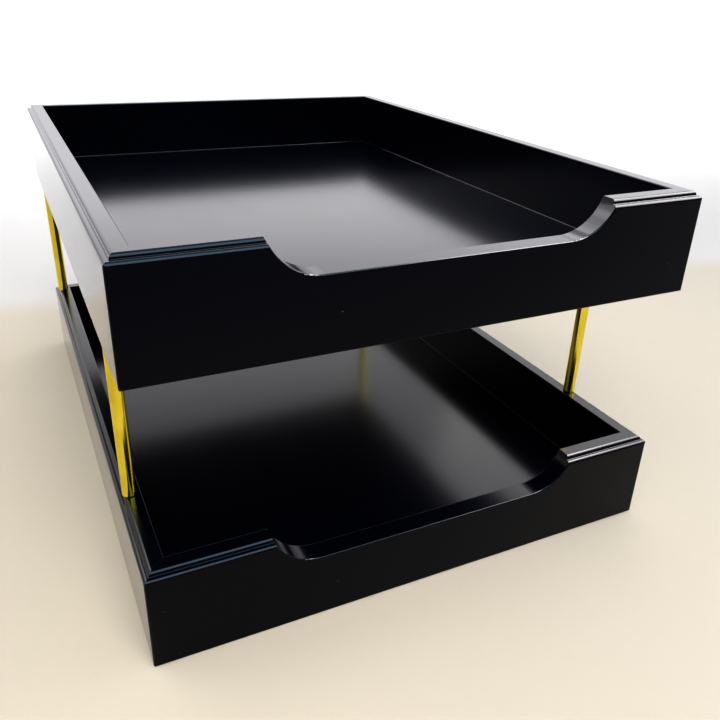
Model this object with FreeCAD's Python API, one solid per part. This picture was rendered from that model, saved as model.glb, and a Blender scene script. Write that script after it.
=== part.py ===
import FreeCAD, Part
import math
import os

from FreeCAD import Vector

# Two-tier letter tray in lacquered board with four brass posts.
# Frame: +X right, +Y back, +Z up, origin on the table under the middle of the tray.
# All dimensions in millimetres.

# Tray outside
TRAY_WIDTH = 260.35
TRAY_DEPTH = 341.3
BOARD_HEIGHT = 47.6
BOARD_THICKNESS = 10.0
CORNER_RADIUS = 1.3

# Bottom panel, held in a groove on the inside of the four boards
PANEL_THICKNESS = 6.35
PANEL_UNDERSIDE = 6.35
GROOVE_DEPTH = 3.6
PANEL_EDGE_CLEARANCE = 0.5

# Finger scoop in the front boards
SCOOP_DEPTH = 15.4
SCOOP_FLAT_HALF_WIDTH = 56.1
SCOOP_END_RADIUS = 23.5
SCOOP_OFFSET = 1.5
SCOOP_EDGE_RADIUS = 0.6

# Board edges
RIM_INNER_RADIUS = 0.7
BOTTOM_EDGE_RADIUS = 0.5

# Moulding on the outer top edge: two quarter rounds, one above the other, with a small hollow
# between them. "In" is measured from the outer face, "down" from the rim.
UPPER_ROUND_IN = 4.1
UPPER_ROUND_RADIUS = 1.75
HOLLOW_RADIUS = 0.3
LOWER_ROUND_RADIUS = 1.6

# Splines across the mitred corners
SPLINE_THICKNESS = 2.0
SPLINE_WIDTH = 7.0
SPLINE_BOTTOM = 15.5
SPLINE_TOP = 41.5
GLUE_GAP = 0.05

# Posts and what fastens them
POST_DIAMETER = 6.35
POST_LENGTH = 82.6
POST_EDGE_RADIUS = 0.45
POST_FRONT_INSET = 57.15
POST_BACK_INSET = 13.0
SCREW_DIAMETER = 3.0
SCREW_IN_WOOD = 14.0
SCREW_IN_POST = 10.0
PIN_DIAMETER = 3.0
PIN_IN_POST = 10.0
PIN_ENGAGEMENT = 5.0
PIN_TIP_RADIUS = 0.8
SOCKET_OUTER_DIAMETER = 5.0
SOCKET_LENGTH = 6.0
RUNNING_CLEARANCE = 0.06
SEAT_CLEARANCE = 0.02
DRILL_EXTRA = 0.5

# Worked out from the above
HALF_WIDTH = TRAY_WIDTH / 2
HALF_DEPTH = TRAY_DEPTH / 2
UPPER_TRAY_BOTTOM = BOARD_HEIGHT + POST_LENGTH
PANEL_TOP = PANEL_UNDERSIDE + PANEL_THICKNESS
POST_X = HALF_WIDTH - BOARD_THICKNESS / 2
POST_FRONT_Y = POST_FRONT_INSET - HALF_DEPTH
POST_BACK_Y = HALF_DEPTH - POST_BACK_INSET
CUT_MARGIN = 5.0

UP = Vector(0, 0, 1)

TRAY_BOTTOMS = {"lower": 0.0, "upper": UPPER_TRAY_BOTTOM}

POST_PLACES = {
    "front_left": Vector(-POST_X, POST_FRONT_Y, 0),
    "front_right": Vector(POST_X, POST_FRONT_Y, 0),
    "rear_left": Vector(-POST_X, POST_BACK_Y, 0),
    "rear_right": Vector(POST_X, POST_BACK_Y, 0),
}

# Each corner: its place in plan and the plan angle of the diagonal that runs inwards from it
CORNERS = {
    "front_left": (-1, -1, 45),
    "front_right": (1, -1, 135),
    "rear_left": (-1, 1, -45),
    "rear_right": (1, 1, -135),
}


# ---------------------------------------------------------------- small helpers

def line(a, b):
    return Part.makeLine(a, b)


def arc(a, middle, b):
    return Part.Arc(a, middle, b).toShape()


def arc_about(centre, radius, start_degrees, end_degrees, point_at):
    """Arc from one angle to another, with point_at turning (u, v) into a 3-D point."""
    def on_circle(degrees):
        turn = math.radians(degrees)
        return point_at(centre[0] + radius * math.cos(turn), centre[1] + radius * math.sin(turn))
    middle_degrees = (start_degrees + end_degrees) / 2
    return arc(on_circle(start_degrees), on_circle(middle_degrees), on_circle(end_degrees))


def prism(edges, direction):
    wire = Part.Wire(edges)
    return Part.Face(wire).extrude(direction)


def cylinder(diameter, height, base):
    return Part.makeCylinder(diameter / 2, height, base, UP)


# ---------------------------------------------------------------- boards
# A board is made lying along X with its outer face on y = 0, its inner face towards +Y and its
# bottom on z = 0. It is then turned and moved to its side of the tray.

def section_point(inward, height):
    return Vector(0, inward, height)


def board_section():
    """Closed outline of a board's cross-section, counter-clockwise from the outer bottom edge."""
    at = section_point
    top = BOARD_HEIGHT
    thick = BOARD_THICKNESS
    low = BOTTOM_EDGE_RADIUS
    rim = RIM_INNER_RADIUS
    groove = thick - GROOVE_DEPTH
    upper_centre = (UPPER_ROUND_IN, top - UPPER_ROUND_RADIUS)
    hollow_centre = (UPPER_ROUND_IN - UPPER_ROUND_RADIUS - HOLLOW_RADIUS, upper_centre[1])
    ledge = upper_centre[1] - HOLLOW_RADIUS
    lower_centre = (LOWER_ROUND_RADIUS, ledge - LOWER_ROUND_RADIUS)
    return [
        arc_about((low, low), low, 180, 270, at),
        line(at(low, 0), at(thick - low, 0)),
        arc_about((thick - low, low), low, 270, 360, at),
        line(at(thick, low), at(thick, PANEL_UNDERSIDE)),
        line(at(thick, PANEL_UNDERSIDE), at(groove, PANEL_UNDERSIDE)),
        line(at(groove, PANEL_UNDERSIDE), at(groove, PANEL_TOP)),
        line(at(groove, PANEL_TOP), at(thick, PANEL_TOP)),
        line(at(thick, PANEL_TOP), at(thick, top - rim)),
        arc_about((thick - rim, top - rim), rim, 0, 90, at),
        line(at(thick - rim, top), at(UPPER_ROUND_IN, top)),
        arc_about(upper_centre, UPPER_ROUND_RADIUS, 90, 180, at),
        arc_about(hollow_centre, HOLLOW_RADIUS, 0, -90, at),
        line(at(hollow_centre[0], ledge), at(LOWER_ROUND_RADIUS, ledge)),
        arc_about(lower_centre, LOWER_ROUND_RADIUS, 90, 180, at),
        line(at(0, lower_centre[1]), at(0, low)),
    ]


def mitred_blank(length):
    """Plain board with both ends cut at 45 degrees."""
    half = length / 2
    inner_half = half - BOARD_THICKNESS
    corners = [
        Vector(-half, 0, 0),
        Vector(half, 0, 0),
        Vector(inner_half, BOARD_THICKNESS, 0),
        Vector(-inner_half, BOARD_THICKNESS, 0),
    ]
    outline = Part.makePolygon(corners + corners[:1])
    return Part.Face(outline).extrude(Vector(0, 0, BOARD_HEIGHT))


def scoop_cutter():
    """Flat-bottomed opening with a hollow quarter-turn at each end, open at the top."""
    floor = BOARD_HEIGHT - SCOOP_DEPTH
    centre_height = floor + SCOOP_END_RADIUS
    rise_degrees = math.degrees(math.acos((SCOOP_END_RADIUS - SCOOP_DEPTH) / SCOOP_END_RADIUS))
    reach = SCOOP_END_RADIUS * math.sin(math.radians(rise_degrees))
    half_opening = SCOOP_FLAT_HALF_WIDTH + reach
    above = BOARD_HEIGHT + CUT_MARGIN

    def at(x, z):
        return Vector(x, -CUT_MARGIN, z)

    edges = [
        line(at(-SCOOP_FLAT_HALF_WIDTH, floor), at(SCOOP_FLAT_HALF_WIDTH, floor)),
        arc_about((SCOOP_FLAT_HALF_WIDTH, centre_height), SCOOP_END_RADIUS,
                  270, 270 + rise_degrees, at),
        line(at(half_opening, BOARD_HEIGHT), at(half_opening, above)),
        line(at(half_opening, above), at(-half_opening, above)),
        line(at(-half_opening, above), at(-half_opening, BOARD_HEIGHT)),
        arc_about((-SCOOP_FLAT_HALF_WIDTH, centre_height), SCOOP_END_RADIUS,
                  270 - rise_degrees, 270, at),
    ]
    cutter = prism(edges, Vector(0, BOARD_THICKNESS + 2 * CUT_MARGIN, 0))
    cutter.translate(Vector(SCOOP_OFFSET, 0, 0))
    return cutter


def is_scoop_edge(edge):
    """True for an edge of the scoop that lies on the board's outer or inner face."""
    box = edge.BoundBox
    on_a_face = box.YLength < 0.001 and min(abs(box.YMin), abs(box.YMin - BOARD_THICKNESS)) < 0.001
    below_rim = box.ZMin < BOARD_HEIGHT - 0.001
    above_floor = box.ZMin > BOARD_HEIGHT - SCOOP_DEPTH - 0.001
    return on_a_face and below_rim and above_floor


def with_scoop(blank):
    scooped = blank.cut(scoop_cutter())
    edges = [edge for edge in scooped.Edges if is_scoop_edge(edge)]
    return scooped.makeFillet(SCOOP_EDGE_RADIUS, edges)


def board(length, has_scoop):
    blank = mitred_blank(length)
    if has_scoop:
        blank = with_scoop(blank)
    moulded = prism(board_section(), Vector(length + 2 * CUT_MARGIN, 0, 0))
    moulded.translate(Vector(-length / 2 - CUT_MARGIN, 0, 0))
    return blank.common(moulded)


def placed_board(length, has_scoop, turn_degrees, distance_out):
    """Board turned about Z, with its outer face at a distance from the tray's middle."""
    shape = board(length, has_scoop)
    shape.translate(Vector(0, -distance_out, 0))
    shape.rotate(Vector(0, 0, 0), UP, turn_degrees)
    return shape


def rounded_envelope():
    """Outside box of a tray with its four standing edges rounded."""
    corner = Vector(-HALF_WIDTH, -HALF_DEPTH, 0)
    box = Part.makeBox(TRAY_WIDTH, TRAY_DEPTH, BOARD_HEIGHT, corner)
    standing = [edge for edge in box.Edges if edge.BoundBox.ZLength > BOARD_HEIGHT / 2]
    return box.makeFillet(CORNER_RADIUS, standing)


# ---------------------------------------------------------------- corner splines

def spline(corner, gap):
    """Upright tongue across a mitre, grown by the gap on every side to make its slot."""
    x_sign, y_sign, diagonal = CORNERS[corner]
    thickness = SPLINE_THICKNESS + 2 * gap
    width = SPLINE_WIDTH + 2 * gap
    height = SPLINE_TOP - SPLINE_BOTTOM + 2 * gap
    tongue = Part.makeBox(thickness, width, height, Vector(-thickness / 2, -width / 2, 0))
    tongue.rotate(Vector(0, 0, 0), UP, diagonal)
    middle_x = x_sign * (HALF_WIDTH - BOARD_THICKNESS / 2)
    middle_y = y_sign * (HALF_DEPTH - BOARD_THICKNESS / 2)
    tongue.translate(Vector(middle_x, middle_y, SPLINE_BOTTOM - gap))
    return tongue


# ---------------------------------------------------------------- holes for the fastenings

def screw_holes():
    """Holes in the rims of the lower sides for the wood ends of the dowel screws."""
    depth = SCREW_IN_WOOD + DRILL_EXTRA
    diameter = SCREW_DIAMETER + 2 * SEAT_CLEARANCE
    return [cylinder(diameter, depth + CUT_MARGIN, place + Vector(0, 0, BOARD_HEIGHT - depth))
            for place in POST_PLACES.values()]


def socket_holes():
    """Holes in the underside of a tray for the locating sockets."""
    diameter = SOCKET_OUTER_DIAMETER + 2 * SEAT_CLEARANCE
    return [cylinder(diameter, SOCKET_LENGTH + SEAT_CLEARANCE + CUT_MARGIN,
                     place - Vector(0, 0, CUT_MARGIN))
            for place in POST_PLACES.values()]


# ---------------------------------------------------------------- trays

def bottom_panel():
    reach = BOARD_THICKNESS - GROOVE_DEPTH + PANEL_EDGE_CLEARANCE
    corner = Vector(reach - HALF_WIDTH, reach - HALF_DEPTH, PANEL_UNDERSIDE)
    return Part.makeBox(TRAY_WIDTH - 2 * reach, TRAY_DEPTH - 2 * reach, PANEL_THICKNESS, corner)


def tray_pieces(holes):
    """Boards, panel and splines of one tray standing on z = 0, by plain name."""
    boards = {
        "front_board": placed_board(TRAY_WIDTH, True, 0, HALF_DEPTH),
        "right_side": placed_board(TRAY_DEPTH, False, 90, HALF_WIDTH),
        "back_board": placed_board(TRAY_WIDTH, False, 180, HALF_DEPTH),
        "left_side": placed_board(TRAY_DEPTH, False, 270, HALF_WIDTH),
    }
    envelope = rounded_envelope()
    slots = [spline(corner, GLUE_GAP) for corner in CORNERS]
    pieces = {}
    for name, shape in boards.items():
        pieces[name] = shape.common(envelope).cut(slots + holes)
    pieces["bottom_panel"] = bottom_panel()
    for corner in CORNERS:
        pieces[corner + "_spline"] = spline(corner, 0)
    return pieces


# ---------------------------------------------------------------- posts and fastenings

def rounded_rod(diameter, length, base, end_radius):
    rod = cylinder(diameter, length, base)
    ends = [edge for edge in rod.Edges if edge.BoundBox.ZLength < 0.001]
    return rod.makeFillet(end_radius, ends)


def post(place):
    base = place + Vector(0, 0, BOARD_HEIGHT)
    rod = rounded_rod(POST_DIAMETER, POST_LENGTH, base, POST_EDGE_RADIUS)
    screw_bore = cylinder(SCREW_DIAMETER + 2 * SEAT_CLEARANCE,
                          SCREW_IN_POST + DRILL_EXTRA + CUT_MARGIN,
                          base - Vector(0, 0, CUT_MARGIN))
    pin_depth = PIN_IN_POST + DRILL_EXTRA
    pin_bore = cylinder(PIN_DIAMETER + 2 * SEAT_CLEARANCE, pin_depth + CUT_MARGIN,
                        base + Vector(0, 0, POST_LENGTH - pin_depth))
    return rod.cut([screw_bore, pin_bore])


def dowel_screw(place):
    """Double-ended screw with its threads left plain."""
    base = place + Vector(0, 0, BOARD_HEIGHT - SCREW_IN_WOOD)
    rod = cylinder(SCREW_DIAMETER, SCREW_IN_WOOD + SCREW_IN_POST, base)
    ends = [edge for edge in rod.Edges if edge.BoundBox.ZLength < 0.001]
    return rod.makeChamfer(SCREW_DIAMETER / 5, ends)


def locating_pin(place):
    base = place + Vector(0, 0, UPPER_TRAY_BOTTOM - PIN_IN_POST)
    return rounded_rod(PIN_DIAMETER, PIN_IN_POST + PIN_ENGAGEMENT, base, PIN_TIP_RADIUS)


def socket(place):
    """Bush set flush in the underside of the upper tray."""
    base = place + Vector(0, 0, UPPER_TRAY_BOTTOM)
    outside = cylinder(SOCKET_OUTER_DIAMETER, SOCKET_LENGTH, base)
    bore = cylinder(PIN_DIAMETER + 2 * RUNNING_CLEARANCE, SOCKET_LENGTH + 2 * CUT_MARGIN,
                    base - Vector(0, 0, CUT_MARGIN))
    return outside.cut(bore)


# ---------------------------------------------------------------- the whole object

def all_parts():
    parts = {}
    tray_holes = {"lower": screw_holes(), "upper": socket_holes()}
    for tray, bottom in TRAY_BOTTOMS.items():
        for name, shape in tray_pieces(tray_holes[tray]).items():
            shape.translate(Vector(0, 0, bottom))
            parts[tray + "_" + name] = shape
    for place_name, place in POST_PLACES.items():
        parts[place_name + "_post"] = post(place)
        parts[place_name + "_socket"] = socket(place)
    parts["dowel_screws"] = Part.makeCompound([dowel_screw(place) for place in POST_PLACES.values()])
    parts["locating_pins"] = Part.makeCompound([locating_pin(place) for place in POST_PLACES.values()])
    return parts


def main():
    os.makedirs("parts", exist_ok=True)
    for name, shape in all_parts().items():
        solids = shape.Solids
        solid = solids[0] if len(solids) == 1 else Part.makeCompound(solids)
        solid.exportStep("parts/" + name + ".step")
        print(name, len(solids), solid.isValid(), round(solid.Volume, 1), solid.BoundBox)


main()
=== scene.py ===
import math

import bmesh
import bpy
from mathutils import Euler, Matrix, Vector


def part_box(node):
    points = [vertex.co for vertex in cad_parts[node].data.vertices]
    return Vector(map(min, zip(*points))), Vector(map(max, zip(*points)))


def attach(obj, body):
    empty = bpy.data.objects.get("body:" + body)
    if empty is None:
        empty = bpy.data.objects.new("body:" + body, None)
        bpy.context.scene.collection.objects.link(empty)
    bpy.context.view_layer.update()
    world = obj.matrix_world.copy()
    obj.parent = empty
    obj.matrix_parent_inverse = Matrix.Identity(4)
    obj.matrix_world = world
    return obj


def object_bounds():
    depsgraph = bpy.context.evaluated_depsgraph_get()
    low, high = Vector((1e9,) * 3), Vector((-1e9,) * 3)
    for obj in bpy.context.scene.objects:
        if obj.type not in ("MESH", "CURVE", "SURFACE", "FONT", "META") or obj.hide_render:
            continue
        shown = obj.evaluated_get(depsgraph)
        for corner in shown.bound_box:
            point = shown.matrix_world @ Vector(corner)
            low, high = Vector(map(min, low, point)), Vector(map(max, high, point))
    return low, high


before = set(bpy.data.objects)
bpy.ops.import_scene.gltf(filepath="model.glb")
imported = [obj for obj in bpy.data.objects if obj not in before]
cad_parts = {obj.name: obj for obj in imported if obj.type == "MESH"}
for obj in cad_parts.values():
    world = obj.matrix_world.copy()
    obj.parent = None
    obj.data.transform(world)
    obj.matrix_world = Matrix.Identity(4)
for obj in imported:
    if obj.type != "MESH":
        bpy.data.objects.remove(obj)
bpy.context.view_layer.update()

# Two-tier letter tray in black lacquer with four polished brass posts.
# Units are metres and +Z is up. Every CAD node keeps its own mesh and gets its finish here.

MM = 0.001
TRAYS = ("lower", "upper")
BOARDS = ("front_board", "back_board", "left_side", "right_side")
CORNERS = ("front_left", "front_right", "rear_left", "rear_right")

# Camera
CAMERA_PLACE = (-0.1543, -0.4015, 0.2543)
CAMERA_TURN_DEGREES = (63.98, -1.785, -25.69)
LENS_MM = 37.10
SENSOR_MM = 36.0
CAMERA_SHIFT = (-0.0039, -0.0105)

# Light: a bright studio, brighter overhead and dim high up in front, and softboxes. The studio's
# rises and fronts are ranges of the Z and Y parts of the unit vector towards it.
STUDIO_COLOUR = (0.98, 0.975, 1.0)
STUDIO_LOW = 0.74
STUDIO_HIGH = 1.60
STUDIO_RISE = (0.12, 0.27)
STUDIO_DIM = 0.12
DIM_FRONT = (-0.05, -0.55)
DIM_RISE = (0.0, 0.08)
# A softbox is given by where it stands as seen from the object, its distance, the angles that it
# spans and its radiance, and by whether it shows in gloss and lights matt surfaces. The front one has
# a grid that narrows its beam. Angles are in degrees.
SOFTBOXES = {
    "key_softbox": {"azimuth": -20, "elevation": 43, "distance": 3.0, "across": 40, "tall": 32,
                    "radiance": 14.0, "colour": (1.0, 0.96, 0.97), "gloss": True, "matt": False},
    "high_softbox": {"azimuth": -2, "elevation": 55, "distance": 3.0, "across": 34, "tall": 13,
                     "radiance": 26.0, "colour": (1.0, 0.97, 0.99), "gloss": True, "matt": False},
    "fill_softbox": {"azimuth": -75, "elevation": 46, "distance": 3.0, "across": 28, "tall": 44,
                     "radiance": 8.5, "colour": (0.52, 0.80, 1.0), "gloss": True, "matt": False},
    "left_softbox": {"azimuth": 145, "elevation": 41, "distance": 3.0, "across": 44, "tall": 22,
                     "radiance": 4.0, "colour": (1.0, 0.98, 0.94), "gloss": True, "matt": True},
    "right_softbox": {"azimuth": 38, "elevation": 41, "distance": 3.0, "across": 28, "tall": 26,
                      "radiance": 1.6, "colour": (1.0, 0.98, 0.96), "gloss": True, "matt": True},
    "back_softbox": {"azimuth": 100, "elevation": 47, "distance": 3.0, "across": 48, "tall": 18,
                     "radiance": 4.2, "colour": (0.98, 0.97, 1.0), "gloss": True, "matt": False},
    "front_softbox": {"azimuth": -100, "elevation": 50, "distance": 0.8, "across": 36, "tall": 36,
                      "radiance": 4.2, "colour": (1.0, 0.97, 0.92), "gloss": False, "matt": True,
                      "spread": 84},
}

# Floor: warm and pale near the object, neutral beyond a line behind it and white in the distance.
# The fades are ranges of distance beyond that line.
BACKDROP_TURN_DEGREES = -11.0
BACKDROP_DISTANCE = 0.2026
BACKDROP_FADE = (-0.01, 0.05)
DISTANCE_FADE = (0.05, 1.2)
NEAR_FLOOR_COLOUR = (0.230, 0.209, 0.172)
BACK_FLOOR_COLOUR = (0.250, 0.248, 0.246)
FAR_FLOOR_COLOUR = (0.68, 0.677, 0.674)
FLOOR_ROUGHNESS = 0.85
FLOOR_RADIUS = 30.0

# Lacquer built up in the inside corners of the trays
FILLET_RADIUS = 0.4 * MM
FILLET_STEPS = 8
FILLET_SINK = 0.05 * MM
FILLET_EDGE_DEGREES = 40
# the drop up each corner: heights above the floor in fillet radii, and its size there
UPRIGHT_STEPS = ((0.5, 1.0), (1.0, 1.0), (2.0, 0.7), (3.5, 0.35), (6.0, 0.12))

# Lacquer: two clear layers over black, each with this refractive index. The outer layer is slightly
# smoother than the roughest patches of the one below.
LACQUER_IOR = 1.18
LACQUER_COLOURS = ((0.0003, 0.0006, 0.0021), (0.0006, 0.0009, 0.0032))
WORN_COLOUR = (0.010, 0.011, 0.013)
WORN_RADIUS = 0.5 * MM
DUST_COLOUR = (0.055, 0.056, 0.058)
BOARD_ROUGHNESS = 0.185
POOLED_ROUGHNESS = 0.36
HAZE_RANGE = 0.03
COAT_SMOOTHER_BY = 0.01
POLISHED_BRASS_COLOURS = ((0.86, 0.70, 0.090), (0.70, 0.56, 0.060))

# Sockets of Blender's colour mix node, which share their names with its other kinds
MIX_FIRST = 6
MIX_SECOND = 7
MIX_RESULT = 2


# ---------------------------------------------------------------- node helpers

class Nodes:
    """Adds and links the nodes of one material."""

    def __init__(self, name):
        self.material = bpy.data.materials.new(name)
        self.material.use_nodes = True
        self.tree = self.material.node_tree
        self.tree.nodes.clear()
        self.output = self.add("ShaderNodeOutputMaterial")
        self.shader = self.add("ShaderNodeBsdfPrincipled")
        self.link(self.shader, "BSDF", self.output, "Surface")
        self.place = self.add("ShaderNodeTexCoord")

    def add(self, kind, **values):
        node = self.tree.nodes.new(kind)
        for name, value in values.items():
            setattr(node, name, value)
        return node

    def link(self, source, out_name, target, in_name):
        self.tree.links.new(source.outputs[out_name], target.inputs[in_name])

    def noise(self, scale, detail=3.0, roughness=0.5, stretch=(1, 1, 1)):
        mapping = self.add("ShaderNodeMapping")
        mapping.inputs["Scale"].default_value = stretch
        self.link(self.place, "Object", mapping, "Vector")
        node = self.add("ShaderNodeTexNoise")
        node.inputs["Scale"].default_value = scale
        node.inputs["Detail"].default_value = detail
        node.inputs["Roughness"].default_value = roughness
        self.link(mapping, "Vector", node, "Vector")
        return node

    def spread(self, node, out_name, low, high, to_low, to_high, smooth=False):
        """Maps a value's range to another, clamped."""
        spread = self.add("ShaderNodeMapRange")
        if smooth:
            spread.interpolation_type = "SMOOTHSTEP"
        spread.inputs["From Min"].default_value = low
        spread.inputs["From Max"].default_value = high
        spread.inputs["To Min"].default_value = to_low
        spread.inputs["To Max"].default_value = to_high
        self.link(node, out_name, spread, "Value")
        return spread

    def mix(self, factor, factor_out, first, second):
        """Mixes two colours, each given as a colour or as another mix."""
        mix = self.add("ShaderNodeMix", data_type="RGBA")
        self.tree.links.new(factor.outputs[factor_out], mix.inputs[0])
        for socket, colour in ((MIX_FIRST, first), (MIX_SECOND, second)):
            if isinstance(colour, tuple):
                mix.inputs[socket].default_value = (*colour, 1)
            else:
                self.tree.links.new(colour.outputs[MIX_RESULT], mix.inputs[socket])
        return mix

    def combine(self, operation, first, second):
        """Arithmetic on two spread values."""
        node = self.add("ShaderNodeMath", operation=operation)
        self.tree.links.new(first.outputs["Result"], node.inputs[0])
        self.tree.links.new(second.outputs["Result"], node.inputs[1])
        return node

    def bump(self, height, height_out, distance, strength, under=None):
        node = self.add("ShaderNodeBump")
        node.inputs["Distance"].default_value = distance
        node.inputs["Strength"].default_value = strength
        self.link(height, height_out, node, "Height")
        if under is not None:
            self.link(under, "Normal", node, "Normal")
        return node

    def paint(self, mix):
        self.tree.links.new(mix.outputs[MIX_RESULT], self.shader.inputs["Base Color"])

    def set_value(self, name, value):
        self.shader.inputs[name].default_value = value


# ---------------------------------------------------------------- materials

def rubbed_edges(n, base):
    """Thin worn line where the lacquer is rubbed on sharp edges."""
    soft_corner = n.add("ShaderNodeBevel", samples=6)
    soft_corner.inputs["Radius"].default_value = WORN_RADIUS
    facing = n.add("ShaderNodeNewGeometry")
    agreement = n.add("ShaderNodeVectorMath", operation="DOT_PRODUCT")
    n.tree.links.new(soft_corner.outputs["Normal"], agreement.inputs[0])
    n.tree.links.new(facing.outputs["Normal"], agreement.inputs[1])
    edge = n.spread(agreement, "Value", 0.985, 0.90, 0.0, 1.0)
    rub = n.spread(n.noise(60.0, 4.0, 0.6), "Fac", 0.42, 0.66, 0.0, 1.0)
    return n.mix(n.combine("MULTIPLY", edge, rub), "Value", base, WORN_COLOUR)


def dust(n, base):
    """Tiny pale grains, few and far between."""
    grains = n.add("ShaderNodeTexVoronoi", feature="F1")
    grains.inputs["Scale"].default_value = 170.0
    n.link(n.place, "Object", grains, "Vector")
    dot = n.spread(grains, "Distance", 0.030, 0.048, 1.0, 0.0)
    chosen = n.spread(grains, "Color", 0.90, 0.91, 0.0, 1.0)
    return n.mix(n.combine("MULTIPLY", dot, chosen), "Value", base, DUST_COLOUR)


def black_lacquer(name, roughest):
    """Sprayed black lacquer: near-mirror at a low angle, faint orange peel, haze, dust and worn edges."""
    n = Nodes(name)
    n.paint(dust(n, rubbed_edges(n, n.mix(n.noise(9.0, 4.0), "Fac", *LACQUER_COLOURS))))
    # roughness: even, with soft haze and a faint wiped grain from front to back
    haze = n.spread(n.noise(11.0, 3.0, 0.5), "Fac", 0.3, 0.7, roughest - HAZE_RANGE, roughest)
    wiped = n.spread(n.noise(70.0, 2.0, 0.5, (1.0, 0.08, 1.0)), "Fac", 0.35, 0.75, 0.0, 0.012)
    rough = n.combine("ADD", haze, wiped)
    # orange peel: long low waves with fine ripples on them
    low = n.bump(n.noise(26.0, 2.0), "Fac", 0.3 * MM, 0.08)
    fine = n.bump(n.noise(420.0, 2.0), "Fac", 0.03 * MM, 0.10, low)
    # two thin clear layers, so that the boards mirror strongly at a grazing angle only
    n.set_value("Coat Weight", 1.0)
    n.link(rough, "Value", n.shader, "Roughness")
    n.set_value("Coat Roughness", roughest - COAT_SMOOTHER_BY)
    for layer in ("", "Coat "):
        n.link(fine, "Normal", n.shader, layer + "Normal")
        n.set_value(layer + "IOR", LACQUER_IOR)
    return n.material


def polished_brass():
    """Bright yellow brass rod: drawn lines along it, faint tarnish."""
    n = Nodes("polished_brass")
    tarnish = n.spread(n.noise(55.0, 4.0, 0.6), "Fac", 0.38, 0.72, 0.0, 1.0)
    n.paint(n.mix(tarnish, "Result", *POLISHED_BRASS_COLOURS))
    drawn = n.noise(900.0, 2.0, 0.5, (1.0, 1.0, 0.02))
    n.link(n.spread(drawn, "Fac", 0.3, 0.7, 0.10, 0.20), "Result", n.shader, "Roughness")
    n.link(n.bump(drawn, "Fac", 0.02 * MM, 0.25), "Normal", n.shader, "Normal")
    n.set_value("Metallic", 1.0)
    return n.material


def grained(name, grain, colours, rough, depth, strength, metallic):
    """Material with one grain: its noise drives the colour, the roughness and the relief."""
    n = Nodes(name)
    noise = n.noise(*grain)
    n.paint(n.mix(noise, "Fac", *colours))
    n.link(n.spread(noise, "Fac", 0.3, 0.7, *rough), "Result", n.shader, "Roughness")
    n.link(n.bump(noise, "Fac", depth, strength), "Normal", n.shader, "Normal")
    n.set_value("Metallic", metallic)
    return n.material


def turned_brass():
    return grained("turned_brass", (700.0, 2.0, 0.5, (0.1, 0.1, 4.0)),
                   ((0.70, 0.50, 0.14), (0.80, 0.60, 0.20)), (0.22, 0.40), 0.03 * MM, 0.3, 1.0)


def zinc_steel():
    return grained("zinc_steel", (320.0, 3.0, 0.6),
                   ((0.48, 0.49, 0.50), (0.62, 0.62, 0.60)), (0.25, 0.42), 0.02 * MM, 0.3, 1.0)


def bare_wood():
    return grained("bare_wood", (180.0, 5.0, 0.6, (1.0, 1.0, 0.06)),
                   ((0.36, 0.22, 0.11), (0.62, 0.44, 0.26)), (0.65, 0.85), 0.1 * MM, 0.5, 0.0)


def pale_floor():
    """Plain pale floor that grows whiter behind the object."""
    n = Nodes("pale_floor")
    turn = math.radians(BACKDROP_TURN_DEGREES)
    distance = n.add("ShaderNodeVectorMath", operation="DOT_PRODUCT")
    n.tree.links.new(n.place.outputs["Object"], distance.inputs[0])
    distance.inputs[1].default_value = (-math.sin(turn), math.cos(turn), 0)

    def fade(start, end):
        return n.spread(distance, "Value", start, end, 0.0, 1.0, smooth=True)

    behind = fade(*(BACKDROP_DISTANCE + step for step in BACKDROP_FADE))
    far = fade(*(BACKDROP_DISTANCE + step for step in DISTANCE_FADE))
    colour = n.mix(behind, "Result", NEAR_FLOOR_COLOUR, BACK_FLOOR_COLOUR)
    n.paint(n.mix(far, "Result", colour, FAR_FLOOR_COLOUR))
    n.set_value("Roughness", FLOOR_ROUGHNESS)
    return n.material


# ---------------------------------------------------------------- lacquer fillets

def inside_of(tray):
    """Inner faces of a tray: left, right, front, back and floor."""
    return {
        "left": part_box(f"{tray}_left_side")[1][0],
        "right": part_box(f"{tray}_right_side")[0][0],
        "front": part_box(f"{tray}_front_board")[1][1],
        "back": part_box(f"{tray}_back_board")[0][1],
        "floor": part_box(f"{tray}_bottom_panel")[1][2],
    }


def corner_turns(inside):
    """For each inside corner, going round: the fillet's centre in plan and its outward directions."""
    radius = FILLET_RADIUS
    centres = [
        (inside["right"] - radius, inside["back"] - radius),
        (inside["left"] + radius, inside["back"] - radius),
        (inside["left"] + radius, inside["front"] + radius),
        (inside["right"] - radius, inside["front"] + radius),
    ]
    for quarter, centre in enumerate(centres):
        angles = [math.radians(90 * (quarter + step / FILLET_STEPS)) for step in range(FILLET_STEPS + 1)]
        yield centre, [(math.cos(a), math.sin(a)) for a in angles]


def outwards(centre, direction, reach):
    return centre[0] + direction[0] * reach, centre[1] + direction[1] * reach


def on_square(direction, reach):
    """Point that far out along a direction, on a square instead of a circle."""
    stretch = reach / max(abs(direction[0]), abs(direction[1]))
    return direction[0] * stretch, direction[1] * stretch


def ring_section(centre, direction, floor):
    """Closed section of the strip along the floor: hollow quarter round, then its hidden back."""
    radius = FILLET_RADIUS
    points = []
    for step in range(FILLET_STEPS + 1):
        turn = math.radians(90 * step / FILLET_STEPS)
        points.append((*outwards(centre, direction, radius * math.cos(turn)),
                       floor + radius - radius * math.sin(turn)))
    back = on_square(direction, radius + FILLET_SINK)
    points.append((centre[0], centre[1], floor - FILLET_SINK))
    points.append((centre[0] + back[0], centre[1] + back[1], floor - FILLET_SINK))
    points.append((centre[0] + back[0], centre[1] + back[1], floor + radius))
    return points


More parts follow.
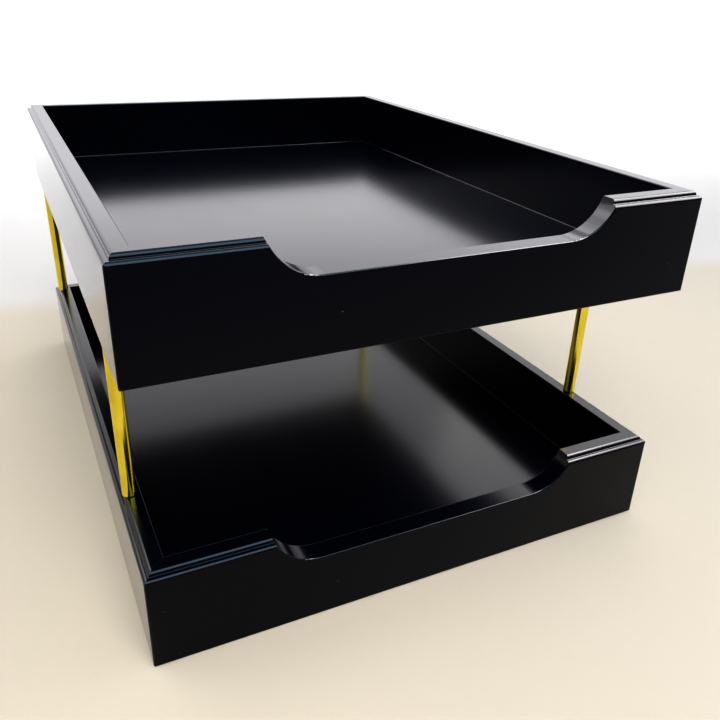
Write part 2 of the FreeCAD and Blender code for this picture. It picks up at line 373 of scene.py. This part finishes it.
def upright_outlines(centre, directions, floor):
    """Outlines of the drop of lacquer up one inside corner, which shrinks into the corner as it rises."""
    hidden = FILLET_RADIUS + FILLET_SINK
    tip = outwards(centre, on_square(directions[len(directions) // 2], hidden), 1)
    outline = [outwards(centre, direction, FILLET_RADIUS) for direction in directions]
    outline.append(outwards(centre, directions[-1], hidden))
    outline.append(tip)
    outline.append(outwards(centre, directions[0], hidden))
    for rise, size in UPRIGHT_STEPS:
        height = floor + rise * FILLET_RADIUS
        yield [(tip[0] + (x - tip[0]) * size, tip[1] + (y - tip[1]) * size, height) for x, y in outline]


def bridge_loops(mesh, loops, closed):
    """Faces between neighbouring loops of equal length."""
    following = loops[1:] + loops[:1] if closed else loops[1:]
    for first, second in zip(loops, following):
        for index in range(len(first)):
            after = (index + 1) % len(first)
            mesh.faces.new((first[index], first[after], second[after], second[index]))
    if not closed:
        mesh.faces.new(loops[0])
        mesh.faces.new(loops[-1][::-1])


def lacquer_fillet(tray, material):
    """Thin hollow of lacquer along the floor and up the inside corners of one tray."""
    inside = inside_of(tray)
    mesh = bmesh.new()
    ring = []
    for centre, directions in corner_turns(inside):
        for direction in directions:
            section = ring_section(centre, direction, inside["floor"])
            ring.append([mesh.verts.new(point) for point in section])
    bridge_loops(mesh, ring, True)
    for centre, directions in corner_turns(inside):
        outlines = upright_outlines(centre, directions, inside["floor"])
        upright = [[mesh.verts.new(point) for point in outline] for outline in outlines]
        bridge_loops(mesh, upright, False)
    bmesh.ops.remove_doubles(mesh, verts=mesh.verts, dist=FILLET_SINK / 10)
    bmesh.ops.recalc_face_normals(mesh, faces=mesh.faces)
    for face in mesh.faces:
        face.smooth = True
    data = bpy.data.meshes.new(f"{tray}_lacquer_fillet")
    mesh.to_mesh(data)
    mesh.free()
    data.set_sharp_from_angle(angle=math.radians(FILLET_EDGE_DEGREES))
    data.materials.append(material)
    piece = bpy.data.objects.new(f"{tray}_lacquer_fillet", data)
    bpy.context.scene.collection.objects.link(piece)
    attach(piece, f"{tray}_tray")


# ---------------------------------------------------------------- CAD nodes

def dress(node_name, material):
    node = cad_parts[node_name]
    node.data.materials.clear()
    node.data.materials.append(material)


def dress_all():
    lacquer = black_lacquer("black_lacquer", BOARD_ROUGHNESS)
    pooled_lacquer = black_lacquer("pooled_lacquer", POOLED_ROUGHNESS)
    wood = bare_wood()
    brass = polished_brass()
    bush = turned_brass()
    steel = zinc_steel()
    for tray in TRAYS:
        for board in BOARDS:
            dress(f"{tray}_{board}", lacquer)
        dress(f"{tray}_bottom_panel", lacquer)
        lacquer_fillet(tray, pooled_lacquer)
        for corner in CORNERS:
            dress(f"{tray}_{corner}_spline", wood)
    for corner in CORNERS:
        dress(f"{corner}_post", brass)
        dress(f"{corner}_socket", bush)
    dress("dowel_screws", steel)
    dress("locating_pins", steel)


# ---------------------------------------------------------------- stage, light and camera

def make_floor():
    bpy.ops.mesh.primitive_circle_add(vertices=96, radius=FLOOR_RADIUS, fill_type="NGON")
    floor = bpy.context.object
    floor.name = "floor"
    floor.data.materials.append(pale_floor())


def make_world():
    """Even light all round and overhead, dim only high up in front."""
    world = bpy.data.worlds.new("studio")
    world.use_nodes = True
    tree = world.node_tree
    background = tree.nodes["Background"]
    background.inputs["Color"].default_value = (*STUDIO_COLOUR, 1)
    direction = tree.nodes.new("ShaderNodeTexCoord")
    split = tree.nodes.new("ShaderNodeSeparateXYZ")
    tree.links.new(direction.outputs["Generated"], split.inputs["Vector"])

    def step(source, low, high, to_low, to_high):
        node = tree.nodes.new("ShaderNodeMapRange")
        node.interpolation_type = "SMOOTHSTEP"
        for name, value in (("From Min", low), ("From Max", high), ("To Min", to_low), ("To Max", to_high)):
            node.inputs[name].default_value = value
        tree.links.new(source, node.inputs["Value"])
        return node.outputs["Result"]

    def product(first, second):
        node = tree.nodes.new("ShaderNodeMath")
        node.operation = "MULTIPLY"
        tree.links.new(first, node.inputs[0])
        tree.links.new(second, node.inputs[1])
        return node.outputs["Value"]

    front = step(split.outputs["Y"], *DIM_FRONT, 0.0, 1.0)
    high = step(split.outputs["Z"], *DIM_RISE, 0.0, 1.0)
    overhead = step(split.outputs["Z"], *STUDIO_RISE, STUDIO_LOW, STUDIO_HIGH)
    dimming = step(product(front, high), 0.0, 1.0, 1.0, STUDIO_DIM)
    tree.links.new(product(overhead, dimming), background.inputs["Strength"])
    bpy.context.scene.world = world


def make_softbox(name, azimuth, elevation, distance, across, tall, radiance, colour, gloss, matt, spread=180):
    """Rectangular light facing the middle of the object, seen only in what it lights."""
    data = bpy.data.lights.new(name, "AREA")
    data.shape = "RECTANGLE"
    data.size = 2 * distance * math.tan(math.radians(across / 2))
    data.size_y = 2 * distance * math.tan(math.radians(tall / 2))
    data.color = colour
    data.spread = math.radians(spread)
    data.energy = radiance * math.pi * data.size * data.size_y
    turn = math.radians(azimuth)
    rise = math.radians(elevation)
    towards = Vector((math.cos(turn) * math.cos(rise), math.sin(turn) * math.cos(rise), math.sin(rise)))
    light = bpy.data.objects.new(name, data)
    light.location = Vector((0, 0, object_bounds()[1][2] / 2)) + towards * distance
    light.rotation_euler = towards.to_track_quat("Z", "Y").to_euler()
    light.visible_camera = False
    light.visible_glossy = gloss
    light.visible_diffuse = matt
    bpy.context.scene.collection.objects.link(light)


def make_camera():
    data = bpy.data.cameras.new("camera")
    data.lens = LENS_MM
    data.sensor_width = SENSOR_MM
    data.shift_x, data.shift_y = CAMERA_SHIFT
    data.clip_start = 0.01
    data.clip_end = 100.0
    camera = bpy.data.objects.new("camera", data)
    camera.location = CAMERA_PLACE
    camera.rotation_euler = Euler([math.radians(a) for a in CAMERA_TURN_DEGREES], "XYZ")
    bpy.context.scene.collection.objects.link(camera)
    bpy.context.scene.camera = camera


make_camera()
make_world()
for softbox_name, softbox in SOFTBOXES.items():
    make_softbox(softbox_name, **softbox)
make_floor()
dress_all()
bpy.context.scene.view_settings.view_transform = "Standard"
bpy.context.scene.view_settings.look = "High Contrast"
